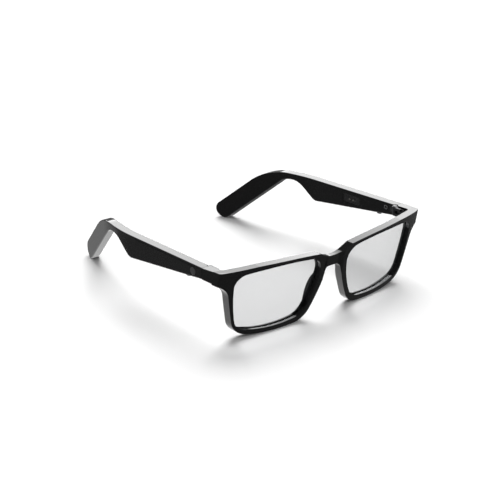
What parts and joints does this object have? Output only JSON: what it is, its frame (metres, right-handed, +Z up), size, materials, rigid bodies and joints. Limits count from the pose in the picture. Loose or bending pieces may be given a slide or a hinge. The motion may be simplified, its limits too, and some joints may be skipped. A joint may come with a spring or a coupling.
{
  "type": "smart glasses",
  "caption": "Audio smart glasses: wrapped full-rim front with clear lenses and two folding arms that hold battery, board, speaker, touch pad, button and charging contacts.",
  "frame": {"origin": "bottom centre of the whole object's box, on the surface that the lower rims and ear tips rest on", "axes": "+Z up, the front faces -Y, the open arms run back along +Y, and X = 0 is the plane of symmetry with the wearer's left at +X"},
  "size_m": [0.1426, 0.1548, 0.0412],
  "materials": {
    "frame_gloss": "polished black acetate",
    "pad_satin": "satin dark grey pad",
    "arm_gloss": "gloss black moulded",
    "lens_clear": "clear, anti-reflection coated",
    "hinge_steel": "bright machined",
    "screw_steel": "turned",
    "core_steel": "drawn strip",
    "port_black": "satin black",
    "contact_gold": "gold plated",
    "magnet_nickel": "nickel plated",
    "light_pipe": "frosted light pipe",
    "touch_satin": "satin dark grey",
    "sensor_film": "film",
    "board_green": "solder mask",
    "chip_black": "moulded package",
    "flex_amber": "polyimide film",
    "cell_foil": "foil pouch",
    "speaker_grey": "moulded",
    "mesh_steel": "black woven mesh",
    "button_satin": "satin black"
  },
  "bodies": {
    "front": {"front_frame": "frame_gloss", "lens_left": "lens_clear", "nose_pad_left": "pad_satin", "front_hinge_left": "hinge_steel", "front_leaf_screw_left": "screw_steel", "hinge_screw_left": "screw_steel", "lens_right": "lens_clear", "nose_pad_right": "pad_satin", "front_hinge_right": "hinge_steel", "front_leaf_screw_right": "screw_steel", "hinge_screw_right": "screw_steel"},
    "temple_left": {"temple_hinge_left": "hinge_steel", "temple_leaf_screw_left": "screw_steel", "temple_shell_left": "arm_gloss", "temple_cover_left": "arm_gloss", "tip_core_left": "core_steel", "port_panel_left": "port_black", "charge_contacts_left": "contact_gold", "port_magnets_left": "magnet_nickel", "status_light_left": "light_pipe", "touch_pad_left": "touch_satin", "touch_sensor_left": "sensor_film", "main_board_left": "board_green", "radio_module_left": "chip_black", "tact_switch_left": "chip_black", "microphone_left": "magnet_nickel", "flex_cable_left": "flex_amber", "battery_left": "cell_foil", "speaker_left": "speaker_grey", "speaker_mesh_left": "mesh_steel"},
    "button_left": {"function_button_left": "button_satin"},
    "temple_right": {"temple_hinge_right": "hinge_steel", "temple_leaf_screw_right": "screw_steel", "temple_shell_right": "arm_gloss", "temple_cover_right": "arm_gloss", "tip_core_right": "core_steel", "port_panel_right": "port_black", "charge_contacts_right": "contact_gold", "port_magnets_right": "magnet_nickel", "status_light_right": "light_pipe", "touch_pad_right": "touch_satin", "touch_sensor_right": "sensor_film", "main_board_right": "board_green", "radio_module_right": "chip_black", "tact_switch_right": "chip_black", "microphone_right": "magnet_nickel", "flex_cable_right": "flex_amber", "battery_right": "cell_foil", "speaker_right": "speaker_grey", "speaker_mesh_right": "mesh_steel"},
    "button_right": {"function_button_right": "button_satin"}
  },
  "joints": [
    {"name": "temple_left_fold", "type": "hinge", "parent": "front", "child": "temple_left", "pos_m": [0.0657, -0.05448, 0.0367], "axis": [0, 0, 1], "range_deg": [0, 82]},
    {"name": "button_left_press", "type": "slide", "parent": "temple_left", "child": "button_left", "axis": [0, 0, 1], "range_m": [0, 0.0004], "stiffness_N_per_m": 800},
    {"name": "temple_right_fold", "type": "hinge", "parent": "front", "child": "temple_right", "pos_m": [-0.0657, -0.05448, 0.0367], "axis": [0, 0, -1], "range_deg": [0, 69]},
    {"name": "button_right_press", "type": "slide", "parent": "temple_right", "child": "button_right", "axis": [0, 0, 1], "range_m": [0, 0.0004], "stiffness_N_per_m": 800}
  ]
}
